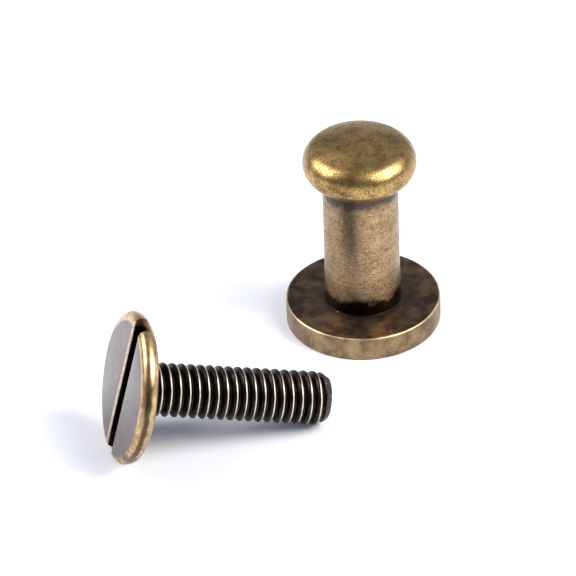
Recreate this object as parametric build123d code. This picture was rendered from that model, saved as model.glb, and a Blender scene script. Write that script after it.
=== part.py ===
from build123d import *
import os
from math import asin, atan2, ceil, cos, degrees, floor, hypot, radians, sin, tan

# Two-piece binding screw for leather, in brass. The stud is one turning: a
# round knob on a neck, and a flange with a tapped hole in its underside. The
# slotted screw goes up into that hole, and the leather is held between its
# head and the flange. The pair is built taken apart: the stud stands on its
# flange, and the screw lies beside it, on the rim of its head and its tip.
# Millimetres and degrees. The origin is the centre of the flange's underside,
# and +Z runs up the stud's axis.

# ---- Thread that joins the two pieces, M4 x 0.7, right-handed ----
thread_pitch = 0.70
thread_radius = 1.95       # over the crests of the screw
thread_depth = 0.43        # from crest to root
crest_width = 0.10         # flat left on each crest
flank_angle = 30.0         # each side of the V, from square to the axis
tap_clearance = 0.13       # bore left by the tap drill, outside the screw's root

# ---- Stud ----
flange_radius = 5.63
flange_thickness = 1.84
flange_edge = 0.11         # corners broken on both edges of the flange
neck_radius = 2.755
neck_length = 10.39        # from the flange to the underside of the knob
neck_foot = 0.12           # slope left where the neck meets the flange
knob_radius = 4.146
knob_under = 1.46          # from the top of the neck up to the widest line
knob_dome = 1.925          # from the widest line up to the top
knob_side = 1.43           # radius of the knob's side, above its widest line
hole_depth = 11.5          # full bore of the tapped hole
drill_point = 118.0        # whole angle of the cone at its end
mouth_depth = 0.35         # countersink at its mouth, at 45 degrees

# ---- Screw, from the underside of its head ----
head_radius = 5.49
head_thickness = 1.27
rim_height = 0.70          # widest line of the rim
face_inset = 0.50          # how far the rim curves in to the slotted face
back_inset = 0.49          # and to the underside
slot_width = 1.60
slot_depth = 0.88
slot_flare = 0.13          # broken corner along both sides of the slot
slot_offset = 0.15         # the saw ran a little off centre
slot_turn = -2.0           # turn of the slot about the screw's axis
shank_length = 14.0
first_groove = 0.55        # middle of the first groove under the head
groove_turn = 291.0        # where that groove starts round the shank
tip_drop = 0.40            # how far in the tip is chamfered
tip_length = 0.65          # and how far along

# ---- Where the screw lies ----
lie_x = -16.34             # underside of its head, on its axis
lie_y = -15.19
lie_heading = 11.35        # where its tip points, from +X

flank_slope = tan(radians(flank_angle))


def turned(edges):
    """A solid turned about Z, from an outline drawn as radius and height."""
    return revolve(Plane.XZ * make_face(edges), Axis.Z)


def rim_arc(widest, level, inset, rise):
    """An arc that leaves its widest point upright, and comes in by the inset."""
    radius = arc_radius(inset, rise)
    sweep = degrees(atan2(rise, radius - inset))
    return CenterArc((widest - radius, level), radius, min(sweep, 0), abs(sweep))


def arc_radius(inset, rise):
    return (inset**2 + rise**2) / (2 * inset)


def make_stud():
    neck_top = flange_thickness + neck_length
    knob_line = neck_top + knob_under
    knob_top = knob_line + knob_dome

    # The underside is one arc, from the neck out to the widest line.
    under = rim_arc(knob_radius, knob_line, knob_radius - neck_radius, -knob_under)
    # The dome is a small arc at the side that runs on into a large crown.
    side_centre = knob_radius - knob_side
    crown_radius = (side_centre**2 + knob_dome**2 - knob_side**2) / (
        2 * (knob_dome - knob_side)
    )
    crown_sink = crown_radius - knob_dome
    meet = degrees(atan2(crown_sink, side_centre))
    side = CenterArc((side_centre, knob_line), knob_side, 0, meet)
    crown = CenterArc((0, knob_line - crown_sink), crown_radius, meet, 90 - meet)
    straight = Polyline(
        (0, knob_top),
        (0, 0),
        (flange_radius - flange_edge, 0),
        (flange_radius, flange_edge),
        (flange_radius, flange_thickness - flange_edge),
        (flange_radius - flange_edge, flange_thickness),
        (neck_radius + neck_foot, flange_thickness),
        (neck_radius, flange_thickness + neck_foot),
        (neck_radius, neck_top),
    )
    blank = turned([*straight.edges(), under, side, crown])

    bore = thread_radius - thread_depth + tap_clearance
    point = hole_depth + bore / tan(radians(drill_point / 2))
    hole = Polyline(
        (0, 0),
        (bore + mouth_depth, 0),
        (bore, mouth_depth),
        (bore, hole_depth),
        (0, point),
        close=True,
    )
    return blank - turned(hole.edges())


def thread_grooves():
    """The helical V between the crests: one solid to cut away for each turn."""
    over = 0.1 * thread_pitch
    crest_gap = thread_pitch - crest_width
    half_mouth = crest_gap / 2 + over * flank_slope
    half_floor = crest_gap / 2 - thread_depth * flank_slope
    root_radius = thread_radius - thread_depth
    corners = [
        (thread_radius + over, first_groove - half_mouth),
        (thread_radius + over, first_groove + half_mouth),
        (root_radius, first_groove + half_floor),
        (root_radius, first_groove - half_floor),
    ]
    lines = [
        Edge.make_helix(thread_pitch, thread_pitch, radius, center=(0, 0, height))
        for radius, height in corners
    ]
    sides = [
        Face.make_surface_from_curves(line, after)
        for line, after in zip(lines, lines[1:] + lines[:1])
    ]
    ends = [Face(Wire.make_polygon([line @ at for line in lines])) for at in (0, 1)]
    one_turn = Rot(0, 0, groove_turn) * Solid(Shell(sides + ends))
    turns = ceil((shank_length - first_groove) / thread_pitch) + 1
    return [Pos(0, 0, turn * thread_pitch) * one_turn for turn in range(turns)]


def slot_cutter():
    """The saw's cut across the face, with its two corners broken."""
    half = slot_width / 2
    flared = half + slot_flare
    floor_level = slot_depth - head_thickness
    flare_level = slot_flare - head_thickness
    outside = -1.5 * head_thickness
    section = Polyline(
        (-half, floor_level),
        (half, floor_level),
        (half, flare_level),
        (flared, -head_thickness),
        (flared, outside),
        (-flared, outside),
        (-flared, -head_thickness),
        (-half, flare_level),
        close=True,
    )
    cut = extrude(Plane.YZ * make_face(section), 1.2 * head_radius, both=True)
    return Rot(0, 0, slot_turn) * Pos(0, slot_offset, 0) * cut


def make_screw():
    """The screw along +Z, its underside at 0 and its slotted face below that."""
    face_curve = rim_arc(
        head_radius, -rim_height, face_inset, rim_height - head_thickness
    )
    back_curve = rim_arc(head_radius, -rim_height, back_inset, rim_height)
    straight = Polyline(
        (head_radius - back_inset, 0),
        (thread_radius, 0),
        (thread_radius, shank_length - tip_length),
        (thread_radius - tip_drop, shank_length),
        (0, shank_length),
        (0, -head_thickness),
        (head_radius - face_inset, -head_thickness),
    )
    blank = turned([face_curve, back_curve, *straight.edges()])
    return blank - thread_grooves() - slot_cutter()


def resting_place():
    """Where the screw lies with its rim and its last full crest at Z 0."""
    # The crest that touches is the last full one on the shank's underside.
    half_turn = thread_pitch / 2
    under_crest = first_groove + thread_pitch * (180 - groove_turn) / 360 + half_turn
    last_full = shank_length - tip_length - crest_width / 2
    turns = floor((last_full - under_crest) / thread_pitch)
    touch = under_crest + turns * thread_pitch + crest_width / 2
    # A line touches the rim's back curve and that crest.
    back_round = arc_radius(back_inset, rim_height)
    along = touch + rim_height
    across = head_radius - back_round - thread_radius
    dip = asin(back_round / hypot(along, across)) + atan2(across, along)
    height = (head_radius - back_round) * cos(dip) - rim_height * sin(dip) + back_round
    heading = radians(lie_heading)
    pointing = (cos(heading) * cos(dip), sin(heading) * cos(dip), -sin(dip))
    upward = (cos(heading) * sin(dip), sin(heading) * sin(dip), cos(dip))
    print("height of the axis", round(height, 4), "and dip", round(degrees(dip), 4))
    return Plane(origin=(lie_x, lie_y, height), x_dir=upward, z_dir=pointing).location


os.makedirs("parts", exist_ok=True)
export_step(make_stud(), "parts/stud.step")
export_step(resting_place() * make_screw(), "parts/screw.step")
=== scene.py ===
from math import asin, atan2, cos, degrees, hypot, pi, radians, sin, tan

import bmesh
import bpy
from mathutils import Matrix, Vector


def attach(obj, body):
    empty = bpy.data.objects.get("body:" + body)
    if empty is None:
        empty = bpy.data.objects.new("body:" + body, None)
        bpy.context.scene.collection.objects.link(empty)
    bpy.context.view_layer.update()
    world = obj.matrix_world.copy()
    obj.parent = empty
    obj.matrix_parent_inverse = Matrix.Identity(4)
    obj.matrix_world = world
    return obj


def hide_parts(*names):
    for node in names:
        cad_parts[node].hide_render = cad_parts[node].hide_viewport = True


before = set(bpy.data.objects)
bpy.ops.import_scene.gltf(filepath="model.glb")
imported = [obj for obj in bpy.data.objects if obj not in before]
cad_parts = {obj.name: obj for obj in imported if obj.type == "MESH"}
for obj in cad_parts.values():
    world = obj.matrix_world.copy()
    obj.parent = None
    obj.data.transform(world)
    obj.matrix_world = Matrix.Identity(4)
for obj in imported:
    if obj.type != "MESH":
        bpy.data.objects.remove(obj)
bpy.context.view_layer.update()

scene = bpy.context.scene
scene.view_settings.view_transform = "Standard"
mm = 0.001


# ---- Camera ----
# A long lens on a stand, a bit over half a metre off, looking down on the
# pair from the front and rolled a little to one side.
camera_drop = radians(35.520)
camera_roll = radians(-1.960)
forward = Vector((0, cos(camera_drop), -sin(camera_drop)))
level = Vector((1, 0, 0))
upward = Vector((0, sin(camera_drop), cos(camera_drop)))
sideways = level * cos(camera_roll) + upward * sin(camera_roll)
upright = upward * cos(camera_roll) - level * sin(camera_roll)
lens = bpy.data.cameras.new("camera")
lens.sensor_width = 36
lens.lens = 512.38
lens.clip_start = 0.02
lens.clip_end = 20
camera = bpy.data.objects.new("camera", lens)
camera.matrix_world = Matrix((
    (sideways.x, upright.x, -forward.x, -5.465 * mm),
    (sideways.y, upright.y, -forward.y, -487.068 * mm),
    (sideways.z, upright.z, -forward.z, 350.335 * mm),
    (0, 0, 0, 1),
))
scene.collection.objects.link(camera)
scene.camera = camera


# ---- The stud ----
# A brass turning: round knob, straight neck and flange, tapped M4 from below.
# It is dipped in a brown antique finish and tumbled, which rubs the finish
# back to bright brass wherever the stones can reach. Painted shade and a painted
# dark reflection are added to its colour under the knob, on the neck and round its foot.

def outline_of(start, runs):
    """A half outline in the XZ plane, in mm: straight runs and turned arcs."""
    outline = bmesh.new()
    tip = outline.verts.new((start[0], 0, start[1]))
    for run in runs:
        if len(run) == 2:
            tip = bmesh.ops.extrude_vert_indiv(outline, verts=[tip])["verts"][0]
            tip.co = (run[0], 0, run[1])
        else:
            centre, sweep, steps = run
            arc = bmesh.ops.spin(
                outline, geom=[tip], cent=(centre[0], 0, centre[1]), axis=(0, -1, 0),
                angle=radians(sweep), steps=steps,
            )
            tip = [v for v in arc["geom_last"] if isinstance(v, bmesh.types.BMVert)][0]
    bmesh.ops.remove_doubles(outline, verts=outline.verts[:], dist=1e-5)
    return outline


def turn_round(outline, steps):
    """The outline spun into a closed solid about Z."""
    bmesh.ops.spin(
        outline, geom=outline.verts[:] + outline.edges[:], cent=(0, 0, 0),
        axis=(0, 0, 1), angle=2 * pi, steps=steps, use_merge=True,
    )
    bmesh.ops.remove_doubles(outline, verts=outline.verts[:], dist=1e-4)
    bmesh.ops.dissolve_degenerate(outline, edges=outline.edges[:], dist=1e-5)
    bmesh.ops.recalc_face_normals(outline, faces=outline.faces[:])
    return outline


def finish_mesh(name, shape, place=None, sharp=32):
    """A mesh object from a bmesh in mm, smooth but for its sharp corners."""
    bmesh.ops.transform(shape, matrix=place or Matrix(), verts=shape.verts[:])
    bmesh.ops.scale(shape, vec=(mm, mm, mm), verts=shape.verts[:])
    for face in shape.faces:
        face.smooth = True
    for edge in shape.edges:
        edge.smooth = edge.calc_face_angle(0) < radians(sharp)
    data = bpy.data.meshes.new(name)
    shape.to_mesh(data)
    shape.free()
    piece = bpy.data.objects.new(name, data)
    scene.collection.objects.link(piece)
    return piece


def arc_radius(inset, rise):
    """The radius of an arc that leaves its widest point square to the axis."""
    return (inset ** 2 + rise ** 2) / (2 * inset)


flange_r, flange_t, edge_r = 5.63, 1.84, 0.11
neck_r, neck_l, foot_r = 2.755, 10.39, 0.13
knob_r, knob_under, knob_dome, knob_side = 4.146, 1.46, 1.925, 1.43
bore_r, bore_l, tap_r, drill_point = 1.65, 11.5, 2.0, radians(59)
last_thread, run_out, first_thread = 0.5, 0.3, 0.3
stud_steps = 256
neck_top = flange_t + neck_l
knob_line = neck_top + knob_under
knob_top = knob_line + knob_dome

under_r = arc_radius(knob_r - neck_r, knob_under)
under_sweep = degrees(asin(knob_under / under_r))
side_x = knob_r - knob_side
crown_r = (side_x ** 2 + knob_dome ** 2 - knob_side ** 2) / (2 * (knob_dome - knob_side))
crown_z = knob_top - crown_r
meet = degrees(atan2(knob_line - crown_z, side_x))
stud_shape = turn_round(outline_of((0, bore_l + bore_r / tan(drill_point)), [
    (bore_r, bore_l), (bore_r, bore_l - run_out), (tap_r, bore_l - last_thread),
    (tap_r, first_thread), (tap_r, 0),
    (flange_r - edge_r, 0), ((flange_r - edge_r, edge_r), 90, 6),
    (flange_r, flange_t - edge_r), ((flange_r - edge_r, flange_t - edge_r), 90, 6),
    (neck_r + foot_r, flange_t), ((neck_r + foot_r, flange_t + foot_r), -90, 6),
    (neck_r, flange_t + 0.6), (neck_r, neck_top - 0.4), (neck_r, neck_top),
    ((knob_r - under_r, knob_line), under_sweep, 24),
    ((side_x, knob_line), meet, 24),
    ((0, crown_z), 90 - meet, 40),
]), stud_steps)


def helical(section, pitch, turns, steps):
    """A thread's skin: its outline over one pitch, wound up the Z axis."""
    skin = outline_of(section[0], section[1:])
    bmesh.ops.spin(
        skin, geom=skin.verts[:] + skin.edges[:], cent=(0, 0, 0), axis=(0, 0, 1),
        dvec=(0, 0, pitch / steps), angle=2 * pi * turns, steps=turns * steps,
    )
    bmesh.ops.remove_doubles(skin, verts=skin.verts[:], dist=1e-4)
    return skin


def cut_to_length(skin, low, high):
    """Both ends of a wound skin sawn square and closed."""
    for height, way in ((low, -1), (high, 1)):
        bmesh.ops.bisect_plane(
            skin, geom=skin.verts[:] + skin.edges[:] + skin.faces[:], dist=1e-6,
            plane_co=(0, 0, height), plane_no=(0, 0, way), clear_outer=True,
        )
    bmesh.ops.holes_fill(skin, edges=[e for e in skin.edges if e.is_boundary], sides=0)
    bmesh.ops.recalc_face_normals(skin, faces=skin.faces[:])
    return skin


# One pitch of the tapped thread, from groove to groove, and its chamfered mouth.
pitch, tap_turns, tap_steps, tap_start = 0.7, 16, 64, -0.6
tap_low, tap_high, mouth_r = 0.02, bore_l - 0.35, tap_r + 0.02
tap_skin = helical([
    (tap_r + 0.03, 0), (tap_r - 0.02, 0.04), (bore_r + 0.02, 0.26),
    (bore_r, 0.29), (bore_r, 0.41), (bore_r + 0.02, 0.44), (tap_r - 0.02, 0.66),
    (tap_r + 0.03, pitch),
], pitch, tap_turns, tap_steps)
bmesh.ops.translate(tap_skin, vec=(0, 0, tap_start), verts=tap_skin.verts[:])
cut_to_length(tap_skin, tap_low, tap_high)
for vert in tap_skin.verts:
    reach = hypot(vert.co.x, vert.co.y)
    mouth = max(bore_r, mouth_r - vert.co.z)
    if 0 < reach < mouth:
        vert.co.x *= mouth / reach
        vert.co.y *= mouth / reach
tap_mesh = bpy.data.meshes.new("tap")
tap_skin.to_mesh(tap_mesh)
stud_shape.from_mesh(tap_mesh)


def put(tree, kind, values, **settings):
    """One node, with each input given a number, a colour or a link."""
    node = tree.nodes.new("ShaderNode" + kind)
    for name, value in settings.items():
        setattr(node, name, value)
    for key, value in values.items():
        if isinstance(value, bpy.types.NodeSocket):
            tree.links.new(value, node.inputs[key])
        else:
            node.inputs[key].default_value = value
    return node


def between(tree, value, low, high, start=0.0, end=1.0):
    """How far a value has come from low to high, eased."""
    return put(tree, "MapRange", {0: value, 1: low, 2: high, 3: start, 4: end},
               interpolation_type="SMOOTHSTEP").outputs[0]


def maths(tree, operation, *values):
    """One step of arithmetic on numbers and links."""
    return put(tree, "Math", dict(enumerate(values)), operation=operation).outputs[0]


def product(tree, first, *others):
    """All the values multiplied together."""
    for other in others:
        first = maths(tree, "MULTIPLY", first, other)
    return first


def away(tree, value, centre):
    """How far a value is from a centre, to either side."""
    return maths(tree, "ABSOLUTE", maths(tree, "SUBTRACT", value, centre))


def tint(tree, amount, under, over):
    """The colour over laid on the colour under, by an amount from 0 to 1."""
    ends = {0: amount}
    for key, colour in ((6, under), (7, over)):
        ends[key] = colour if isinstance(colour, bpy.types.NodeSocket) else (*colour, 1)
    return put(tree, "Mix", ends, data_type="RGBA").outputs[2]


# Tumbling leaves a fine speckle and broad uneven patches in the brown finish.
rub = bpy.data.node_groups.new("tumbled finish", "ShaderNodeTree")
for name, kind in (("Point", "Vector"), ("Grain", "Float"), ("Patch", "Float")):
    rub.interface.new_socket(name, in_out="INPUT", socket_type="NodeSocket" + kind)
for name in ("Speckle", "Patches", "Grit"):
    rub.interface.new_socket(name, in_out="OUTPUT", socket_type="NodeSocketFloat")
given = rub.nodes.new("NodeGroupInput").outputs
fine = put(rub, "TexNoise", {"Vector": given[0], "Scale": given[1], "Detail": 3.0,
                             "Roughness": 0.7}).outputs[0]
broad = put(rub, "TexNoise", {"Vector": given[0], "Scale": given[2], "Detail": 4.0,
                              "Roughness": 0.6}).outputs[0]
result = rub.nodes.new("NodeGroupOutput").inputs
rub.links.new(between(rub, fine, 0.36, 0.64), result[0])
rub.links.new(between(rub, broad, 0.34, 0.66), result[1])
rub.links.new(fine, result[2])

# Every turned surface is measured from its own axis: reach, height and angle.
gauge = bpy.data.node_groups.new("turning gauge", "ShaderNodeTree")
gauge.interface.new_socket("Point", in_out="INPUT", socket_type="NodeSocketVector")
for name in ("Reach", "Height", "Angle"):
    gauge.interface.new_socket(name, in_out="OUTPUT", socket_type="NodeSocketFloat")
given = gauge.nodes.new("NodeGroupInput").outputs
parts = put(gauge, "SeparateXYZ", {0: given[0]}).outputs
flat_point = put(gauge, "CombineXYZ", {0: parts[0], 1: parts[1]}).outputs[0]
result = gauge.nodes.new("NodeGroupOutput").inputs
gauge.links.new(put(gauge, "VectorMath", {0: flat_point}, operation="LENGTH").outputs[1],
                result[0])
gauge.links.new(parts[2], result[1])
gauge.links.new(maths(gauge, "ARCTAN2", parts[1], parts[0]), result[2])


class Finish:
    """A metal finish on a turning: its shader, and what the gauges read."""

    def __init__(self, name, place, grain, patch):
        self.material = bpy.data.materials.new(name)
        self.material.use_nodes = True
        self.tree = self.material.node_tree
        self.shader = self.tree.nodes["Principled BSDF"]
        self.shader.inputs["Metallic"].default_value = 1.0
        spot = self.tree.nodes.new("ShaderNodeTexCoord").outputs["Object"]
        turn = place.to_3x3().normalized().to_euler()
        self.point = put(self.tree, "Mapping", {
            "Vector": spot, "Location": place.translation * mm, "Rotation": turn,
            "Scale": (mm, mm, mm)}, vector_type="TEXTURE").outputs[0]
        self.reach, self.height, self.angle = put(
            self.tree, "Group", {0: self.point}, node_tree=gauge).outputs
        self.speckle, self.patches, self.grit = put(
            self.tree, "Group", {0: self.point, 1: grain, 2: patch}, node_tree=rub).outputs

    def mottle(self, patch_share):
        """Patches and speckle together, in shares that make up 1."""
        speckle = product(self.tree, self.speckle, 1 - patch_share)
        return maths(self.tree, "MULTIPLY_ADD", self.patches, patch_share, speckle)

    def sheen(self, dull, bright):
        """Roughness that follows the speckle, from dull to bright."""
        return between(self.tree, self.speckle, 0, 1, dull, bright)

    def set(self, colour, roughness, bump, relief=None):
        """The finished material; bump is the depth of its relief in mm."""
        tree, shader = self.tree, self.shader
        tree.links.new(colour, shader.inputs["Base Color"])
        tree.links.new(roughness, shader.inputs["Roughness"])
        raised = put(tree, "Bump", {"Height": relief or self.grit, "Strength": 1.0,
                                    "Distance": bump * mm})
        tree.links.new(raised.outputs[0], shader.inputs["Normal"])
        return self.material


def knob_finish():
    """Rubbed most of all, so bright brass shows through everywhere; its underside by the
    neck carries painted shade.
    """
    f = Finish("rubbed brass", Matrix(), 8.0, 0.9)
    tree = f.tree
    colour = tint(tree, f.mottle(0.45), (0.13, 0.080, 0.033), (0.62, 0.415, 0.160))
    flecks = between(tree, f.grit, 0.66, 0.74)
    colour = tint(tree, flecks, colour, (0.75, 0.60, 0.34))
    # Painted shade: the knob's underside darkens where it meets the neck.
    painted_underside_shade = between(tree, f.height, neck_top + 0.35, neck_top)
    colour = tint(tree, painted_underside_shade, colour, (0.07, 0.05, 0.04))
    return f.set(colour, f.sheen(0.36, 0.27), 0.014)


def neck_finish():
    """Turning lines all round, with painted shade on one side, under the knob and at the
    foot, and a painted dark reflection down one side.
    """
    f = Finish("turned brass", Matrix(), 7.0, 0.8)
    tree = f.tree
    stretched = put(tree, "Mapping", {"Vector": f.point, "Scale": (0.35, 0.35, 7.0)})
    lines = put(tree, "TexNoise", {"Vector": stretched.outputs[0], "Scale": 1.0,
                                   "Detail": 3.0, "Roughness": 0.6}).outputs[0]
    groove = between(tree, lines, 0.36, 0.64)
    marks = maths(tree, "MULTIPLY_ADD", f.speckle, 0.50, product(tree, groove, 0.24))
    mottle = maths(tree, "MULTIPLY_ADD", f.patches, 0.26, marks)
    colour = tint(tree, mottle, (0.13, 0.085, 0.044), (0.55, 0.380, 0.205))
    # Painted shade: the front-left side of the neck is darkened.
    shade = between(tree, away(tree, f.angle, radians(-112)), 0.75, 0.15)
    colour = tint(tree, product(tree, shade, 0.35), colour, (0.13, 0.09, 0.055))
    # Painted reflection: a dark streak down the upper neck on its front side, broken by the
    # speckle.
    streak_side = between(tree, away(tree, f.angle, radians(-110)), 0.30, 0.06)
    uneven = maths(tree, "MULTIPLY_ADD", f.patches, 1.2, f.height)
    streak_run = between(tree, uneven, 6.4, 9.4)
    broken = between(tree, f.speckle, 1.0, 0.0, 0.55, 1.0)
    painted_reflection_streak = product(tree, streak_side, streak_run, broken)
    colour = tint(tree, painted_reflection_streak, colour, (0.12, 0.083, 0.048))
    # Painted shade: the top of the neck darkens under the knob, with a ragged edge.
    speckled = maths(tree, "MULTIPLY_ADD", f.speckle, 0.35, f.height)
    ragged = maths(tree, "MULTIPLY_ADD", f.patches, 0.55, speckled)
    painted_shade_below_knob = between(tree, ragged, neck_top - 0.85, neck_top - 0.25)
    colour = tint(tree, product(tree, painted_shade_below_knob, 0.9), colour, (0.050, 0.043, 0.042))
    # Painted shade: the foot of the neck goes almost black just above the flange.
    uneven = maths(tree, "MULTIPLY_ADD", f.patches, 0.5, f.height)
    painted_shade_at_foot = between(tree, uneven, flange_t + 1.75, flange_t + 1.15)
    colour = tint(tree, painted_shade_at_foot, colour, (0.016, 0.011, 0.008))
    flecks = between(tree, f.grit, 0.66, 0.72)
    colour = tint(tree, product(tree, flecks, 0.7), colour, (0.70, 0.54, 0.32))
    relief = maths(tree, "ADD", f.grit, lines)
    return f.set(colour, f.sheen(0.42, 0.34), 0.014, relief)


def flange_finish():
    """Dark and glossy on top, with a painted reflection of the neck round its foot, rubbed
    to a bright line along its upper edge.
    """
    f = Finish("brown brass", Matrix(), 7.0, 0.75)
    f.shader.inputs["Metallic"].default_value = 0.85
    tree = f.tree
    on_top = between(tree, f.height, flange_t - 0.05, flange_t - 0.005)
    side = tint(tree, f.mottle(0.7), (0.12, 0.080, 0.044), (0.35, 0.242, 0.128))
    top = tint(tree, f.patches, (0.040, 0.026, 0.016), (0.160, 0.102, 0.055))
    top = tint(tree, between(tree, f.grit, 0.66, 0.73), top, (0.42, 0.32, 0.18))
    # Painted reflection: the flange's top darkens close round the neck.
    painted_neck_reflection = between(tree, f.reach, neck_r + 0.9, neck_r + 0.1)
    top = tint(tree, product(tree, painted_neck_reflection, 0.7), top, (0.06, 0.04, 0.028))
    colour = tint(tree, on_top, side, top)
    ring = between(tree, away(tree, f.reach, flange_r - 0.055), 0.085, 0.03)
    high = between(tree, f.height, flange_t - 0.13, flange_t - 0.06)
    rubbed = product(tree, ring, high, between(tree, f.patches, 0, 1, 0.45, 1.0))
    colour = tint(tree, rubbed, colour, (0.86, 0.64, 0.36))
    in_bore = between(tree, f.reach, tap_r + 0.1, tap_r)
    colour = tint(tree, in_bore, colour, (0.10, 0.07, 0.045))
    return f.set(colour, between(tree, on_top, 0, 1, 0.38, 0.34), 0.012)


on_knob, on_neck, on_flange = range(3)
for face in stud_shape.faces:
    middle = face.calc_center_median()
    in_hole = hypot(middle.x, middle.y) < tap_r + 0.2 and middle.z < neck_top + 1
    if in_hole or middle.z < flange_t + 0.01:
        face.material_index = on_flange
    else:
        face.material_index = on_neck if middle.z < neck_top else on_knob
stud = finish_mesh("stud_turning", stud_shape)
for finish in (knob_finish(), neck_finish(), flange_finish()):
    stud.data.materials.append(finish)
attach(stud, "root")
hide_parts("stud")


# ---- The screw ----
# Brass, cold-headed and thread-rolled M4 x 0.7, then dipped almost black and
# tumbled, so that only the rim, the slot's edges and the crests are rubbed bright.
# The crests also carry a painted highlight, the slot a painted shadow and the
# rim's edge a painted dark reflection.
head_r, head_t, rim_h = 5.49, 1.27, 0.70
face_inset, back_inset = 0.50, 0.49
shank_l, crest_r, root_r = 14.0, 1.95, 1.52
head_steps = 288
face_drop = head_t - rim_h
face_round = arc_radius(face_inset, face_drop)
back_round = arc_radius(back_inset, rim_h)
face_x = head_r - face_round
face_sweep = degrees(atan2(face_drop, face_round - face_inset))
back_x = head_r - back_round
back_sweep = degrees(atan2(rim_h, back_round - back_inset))
head_shape = turn_round(outline_of((0, 0), [
    (2.0, 0), (head_r - back_inset, 0),
    ((back_x, -rim_h), -back_sweep, 16),
    ((face_x, -rim_h), -face_sweep, 16),
    (0, -head_t),
]), head_steps)

# The slot is sawn across, and its long edges rub down to a round.
slot_w, slot_d, slot_turn, slot_shift = 1.60, 0.88, -2.0, 0.15
far_round, near_round = 0.17, 0.08
half, saw_stroke = slot_w / 2, 14
saw_shape = outline_of((-half, slot_d - head_t), [
    (half, slot_d - head_t), (half, near_round - head_t),
    ((half + near_round, near_round - head_t), 90, 4),
    (half + near_round, -2 * head_t), (-half - far_round, -2 * head_t),
    (-half - far_round, -head_t),
    ((-half - far_round, far_round - head_t), 90, 8),
    (-half, slot_d - head_t),
])
saw_face = bmesh.ops.contextual_create(saw_shape, geom=saw_shape.edges[:])["faces"]
saw_end = bmesh.ops.extrude_face_region(saw_shape, geom=saw_face)["geom"]
bmesh.ops.translate(saw_shape, vec=(0, saw_stroke, 0), verts=[
    v for v in saw_end if isinstance(v, bmesh.types.BMVert)])
bmesh.ops.translate(saw_shape, vec=(0, -saw_stroke / 2, 0), verts=saw_shape.verts[:])
bmesh.ops.recalc_face_normals(saw_shape, faces=saw_shape.faces[:])
saw_place = Matrix.Rotation(radians(slot_turn), 4, "Z") @ Matrix.Translation(
    (0, slot_shift, 0)) @ Matrix.Rotation(radians(90), 4, "Z")
saw = finish_mesh("saw", saw_shape, saw_place)
head = finish_mesh("head", head_shape)
slotting = head.modifiers.new("slot", "BOOLEAN")
slotting.object = saw
slotting.operation = "DIFFERENCE"
slotting.solver = "EXACT"
bpy.context.view_layer.update()
sawn = bpy.data.meshes.new_from_object(
    head.evaluated_get(bpy.context.evaluated_depsgraph_get()))
bpy.data.objects.remove(head)
bpy.data.objects.remove(saw)

# One pitch of the thread, from the middle of a groove to the next.
shank_turns, shank_steps, turns_in_head = 23, 96, 3
shank_shape = helical([
    (root_r + 0.04, 0), (root_r + 0.05, 0.02), (1.78, 0.143), (1.865, 0.195),
    (1.915, 0.245), (1.942, 0.30), (crest_r, 0.35), (1.942, 0.40), (1.915, 0.455),
    (1.865, 0.505), (1.78, 0.557), (root_r + 0.05, 0.68), (root_r + 0.04, pitch),
], pitch, shank_turns, shank_steps)
groove_turn, first_groove = 291.0, 0.55
bmesh.ops.transform(
    shank_shape, verts=shank_shape.verts[:],
    matrix=Matrix.Translation((0, 0, first_groove - turns_in_head * pitch))
    @ Matrix.Rotation(radians(groove_turn), 4, "Z"),
)
tip_drop, tip_l = 0.40, 0.65
for vert in shank_shape.verts:
    reach = hypot(vert.co.x, vert.co.y)
    allowed = crest_r - tip_drop * (vert.co.z - shank_l + tip_l) / tip_l
    if reach > allowed:
        vert.co.x *= allowed / reach
        vert.co.y *= allowed / reach
cut_to_length(shank_shape, -0.1, shank_l)

# It lies on its head's rim and the last full crest of its thread.
lie_x, lie_y, lie_heading, half_crest = -16.34, -15.19, radians(11.35), 0.05
touch = 0.5 * pitch + first_groove + pitch * (180 - groove_turn) / 360
touch += half_crest + pitch * int((shank_l - tip_l - half_crest - touch) / pitch)
along = touch + rim_h
across = back_x - crest_r
dip = asin(back_round / hypot(along, across)) + atan2(across, along)
lie_z = back_x * cos(dip) - rim_h * sin(dip) + back_round
tipward = Vector((cos(lie_heading) * cos(dip), sin(lie_heading) * cos(dip), -sin(dip)))
skyward = Vector((cos(lie_heading) * sin(dip), sin(lie_heading) * sin(dip), cos(dip)))
outward = tipward.cross(skyward)
lying = Matrix((
    (skyward.x, outward.x, tipward.x, lie_x),
    (skyward.y, outward.y, tipward.y, lie_y),
    (skyward.z, outward.z, tipward.z, lie_z),
    (0, 0, 0, 1),
))
screw_shape = bmesh.new()
screw_shape.from_mesh(sawn)
bmesh.ops.scale(screw_shape, vec=(1000, 1000, 1000), verts=screw_shape.verts[:])
shank_mesh = bpy.data.meshes.new("shank")
shank_shape.to_mesh(shank_mesh)
screw_shape.from_mesh(shank_mesh)


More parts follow.
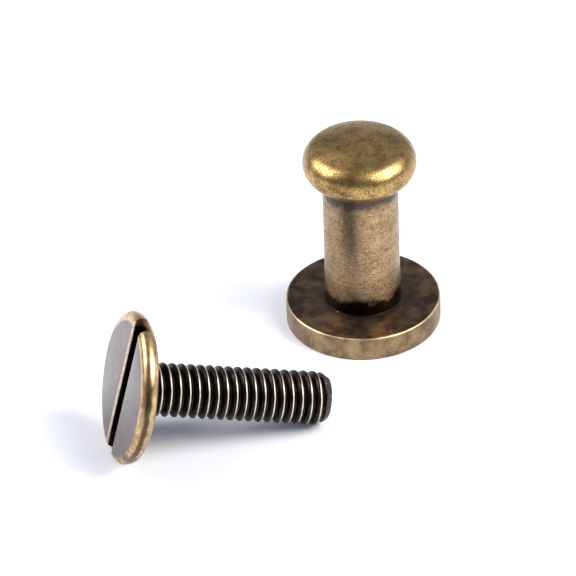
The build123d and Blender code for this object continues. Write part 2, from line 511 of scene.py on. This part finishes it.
def face_finish():
    """The flat face and the slot: even grey-brown plating, lightly brushed, with a painted
    shadow deep in the slot.
    """
    f = Finish("plated face", lying, 9.0, 0.7)
    tree = f.tree
    colour = tint(tree, f.mottle(0.6), (0.150, 0.128, 0.122), (0.215, 0.182, 0.175))
    # Painted shadow: the slot goes almost black deeper into the head.
    painted_slot_shadow = between(tree, f.height, -head_t + 0.10, -head_t + 0.30)
    colour = tint(tree, painted_slot_shadow, colour, (0.010, 0.007, 0.006))
    slot_end = between(tree, f.reach, 4.72, 4.92)
    upper = between(tree, maths(tree, "ABSOLUTE", f.angle), 1.2, 0.9)
    colour = tint(tree, product(tree, slot_end, upper), colour, (0.58, 0.43, 0.27))
    square = put(tree, "Mapping", {"Vector": f.point,
                                   "Rotation": (0, 0, radians(-slot_turn))}).outputs[0]
    across = put(tree, "SeparateXYZ", {0: square}).outputs[1]
    lip = between(tree, away(tree, across, slot_shift - half - 0.06), 0.13, 0.06)
    shallow = between(tree, f.height, -head_t + 0.22, -head_t + 0.12)
    rubbed = product(tree, lip, shallow, between(tree, f.speckle, 0, 1, 0.45, 1.0))
    colour = tint(tree, rubbed, colour, (0.74, 0.56, 0.45))
    return f.set(colour, f.sheen(0.34, 0.28), 0.004)


def rim_finish():
    """The rim rubs bright, with dark scratches across its lower part, and a painted dark
    reflection along its edge on the front side.
    """
    f = Finish("rubbed rim", lying, 7.0, 0.9)
    tree = f.tree
    colour = tint(tree, f.mottle(0.6), (0.27, 0.180, 0.088), (0.80, 0.560, 0.300))
    along = put(tree, "CombineXYZ", {0: product(tree, f.angle, 14.0),
                                     1: product(tree, f.height, 0.8)})
    scratch = put(tree, "TexNoise", {"Vector": along.outputs[0], "Scale": 1.0,
                                     "Detail": 4.0, "Roughness": 0.7}).outputs[0]
    low_side = between(tree, maths(tree, "ABSOLUTE", f.angle), 1.6, 2.2)
    marks = product(tree, between(tree, scratch, 0.47, 0.57), low_side, 0.85)
    colour = tint(tree, marks, colour, (0.075, 0.052, 0.032))
    # Painted reflection: a dark band along the rim's edge on its front side.
    uneven = maths(tree, "MULTIPLY_ADD", f.patches, 0.12, f.height)
    painted_edge_reflection = between(tree, away(tree, uneven, -0.72), 0.28, 0.12)
    facing = between(tree, away(tree, f.angle, radians(100)), 1.1, 0.5, 0.25, 0.9)
    colour = tint(tree, product(tree, painted_edge_reflection, facing), colour, (0.060, 0.042, 0.026))
    underside = between(tree, f.reach, head_r - back_inset, head_r - back_inset - 0.1)
    low = between(tree, f.height, -0.05, -0.01)
    colour = tint(tree, product(tree, underside, low), colour, (0.12, 0.085, 0.055))
    return f.set(colour, f.sheen(0.36, 0.28), 0.010)


def thread_finish():
    """Black in the grooves, and bright lines along the crests, partly rubbed brass and
    partly a painted highlight that is strongest on the upper side.
    """
    f = Finish("thread", lying, 8.0, 1.2)
    tree = f.tree
    colour = tint(tree, f.patches, (0.014, 0.011, 0.010), (0.038, 0.029, 0.023))
    colour = tint(tree, between(tree, f.reach, root_r + 0.09, root_r + 0.05), colour,
                  (0.10, 0.080, 0.066))
    colour = tint(tree, between(tree, f.grit, 0.68, 0.75), colour, (0.30, 0.24, 0.18))
    climbed = maths(tree, "DIVIDE", maths(tree, "SUBTRACT", f.height, first_groove), pitch)
    turned = maths(tree, "DIVIDE", maths(
        tree, "SUBTRACT", f.angle, radians(groove_turn)), 2 * pi)
    across = maths(tree, "FRACT", maths(tree, "SUBTRACT", climbed, turned))
    line = between(tree, away(tree, across, 0.60), 0.095, 0.045)
    full = between(tree, f.height, shank_l - tip_l + 0.1, shank_l - tip_l - 0.2)
    crest = product(tree, line, full)
    # Partly wear, partly painted highlight: the crest line is rubbed brass, and as a painted
    # highlight it is brighter on the upper side and lies to one side of the crest.
    painted_top_light = between(tree, maths(tree, "ABSOLUTE", f.angle), 1.3, 2.6, 1.0, 0.35)
    wear_and_top_light = product(tree, between(tree, f.patches, 0, 1, 0.7, 1.0), painted_top_light)
    colour = tint(tree, product(tree, crest, wear_and_top_light), colour, (0.98, 0.84, 0.70))
    tip = between(tree, f.height, shank_l - tip_l, shank_l - tip_l + 0.15)
    scuffed = product(tree, tip, between(tree, f.speckle, 0.5, 1.0, 0.1, 0.8))
    colour = tint(tree, scuffed, colour, (0.26, 0.19, 0.14))
    return f.set(colour, between(tree, crest, 0, 1, 0.36, 0.42), 0.006)


on_face, on_rim, on_thread = range(3)
for face in screw_shape.faces:
    middle, normal = face.calc_center_median(), face.normal
    reach = hypot(middle.x, middle.y)
    in_slot = middle.z < -0.01 and abs(middle.y) < slot_w
    if in_slot and abs(normal.z) < 0.2 and abs(normal.y) > 0.98:
        face.material_index = on_face
    elif middle.z > 0.001 or (middle.z > -0.15 and reach < crest_r + 0.1):
        face.material_index = on_thread
    elif reach > face_x or middle.z > -0.001:
        face.material_index = on_rim
    else:
        face.material_index = on_face
screw = finish_mesh("screw_turning", screw_shape, lying)
for finish in (face_finish(), rim_finish(), thread_finish()):
    screw.data.materials.append(finish)
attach(screw, "root")
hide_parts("screw")


# ---- Floor ----
# A plain sweep of matt white paper, seen from above only. It lies a hair
# under the pair, so that nothing of theirs shares a face with it.
floor_shape = bmesh.new()
bmesh.ops.create_grid(floor_shape, x_segments=1, y_segments=1, size=1500)
floor = finish_mesh("floor", floor_shape, Matrix.Translation((0, 0, -0.01)))

# Near the pair it is lit and takes their shadows; further off it is plain white.
paper = bpy.data.materials.new("white sweep")
paper.use_nodes = True
tree = paper.node_tree
tree.nodes.clear()
seen = put(tree, "LightPath", {}).outputs
shown = maths(tree, "MAXIMUM", seen["Is Camera Ray"], maths(
    tree, "MAXIMUM", seen["Is Glossy Ray"], seen["Is Transmission Ray"]))
lit = put(tree, "BsdfDiffuse", {"Color": (0.90, 0.90, 0.91, 1)}).outputs[0]
glow = put(tree, "Emission", {"Color": (1, 1, 1, 1),
                              "Strength": product(tree, shown, 0.03)}).outputs[0]
near = put(tree, "AddShader", {0: lit, 1: glow}).outputs[0]
distance = put(tree, "VectorMath", {0: put(tree, "TexCoord", {}).outputs["Object"]},
               operation="LENGTH").outputs[1]
beyond = product(tree, seen["Is Camera Ray"], between(tree, distance, 0.05, 0.16))
white = put(tree, "Emission", {"Color": (1, 1, 1, 1), "Strength": 1.0}).outputs[0]
above = put(tree, "MixShader", {0: beyond, 1: near, 2: white}).outputs[0]
clear = put(tree, "BsdfTransparent", {}).outputs[0]
from_below = put(tree, "NewGeometry", {}).outputs["Backfacing"]
surface = put(tree, "MixShader", {0: from_below, 1: above, 2: clear}).outputs[0]
tree.links.new(surface, tree.nodes.new("ShaderNodeOutputMaterial").inputs[0])
floor.data.materials.append(paper)


# ---- Light ----
# Two square softboxes, one each side of the pair and above it, in a grey
# room that only the metal mirrors.
room = bpy.data.worlds.new("studio")
scene.world = room
room.use_nodes = True
tree = room.node_tree
tree.nodes.clear()
seen = put(tree, "LightPath", {}).outputs
way = put(tree, "SeparateXYZ", {0: put(tree, "TexCoord", {}).outputs["Generated"]}).outputs
behind = between(tree, way[1], -0.7, 0.3)
walls = tint(tree, behind, (0.16, 0.16, 0.17), (0.42, 0.42, 0.45))
horizon = between(tree, way[2], 0.12, 0.0)
walls = tint(tree, horizon, walls, (0.85, 0.85, 0.9))
fill = tint(tree, maths(tree, "MAXIMUM", seen["Is Glossy Ray"], seen["Is Transmission Ray"]),
            (0.25, 0.29, 0.42), walls)
backdrop = tint(tree, seen["Is Camera Ray"], fill, (1, 1, 1))
ground = put(tree, "Background", {"Color": backdrop, "Strength": 1.0}).outputs[0]
tree.links.new(ground, tree.nodes.new("ShaderNodeOutputWorld").inputs[0])
aim, box_distance = Vector((-0.004, -0.004, 0.008)), 0.35
for name, around, height, size, power in (
    ("left box", 172, 44, 0.22, 1.05),
    ("right box", -18, 45, 0.24, 1.7),
):
    panel = bpy.data.lights.new(name, "AREA")
    panel.size = size
    panel.energy = power
    panel.color = (1.0, 0.985, 0.95)
    lamp = bpy.data.objects.new(name, panel)
    spread = cos(radians(height))
    toward = Vector((spread * cos(radians(around)), spread * sin(radians(around)),
                     sin(radians(height))))
    lamp.location = aim + box_distance * toward
    lamp.rotation_euler = (-toward).to_track_quat("-Z", "Y").to_euler()
    scene.collection.objects.link(lamp)

bpy.context.view_layer.update()
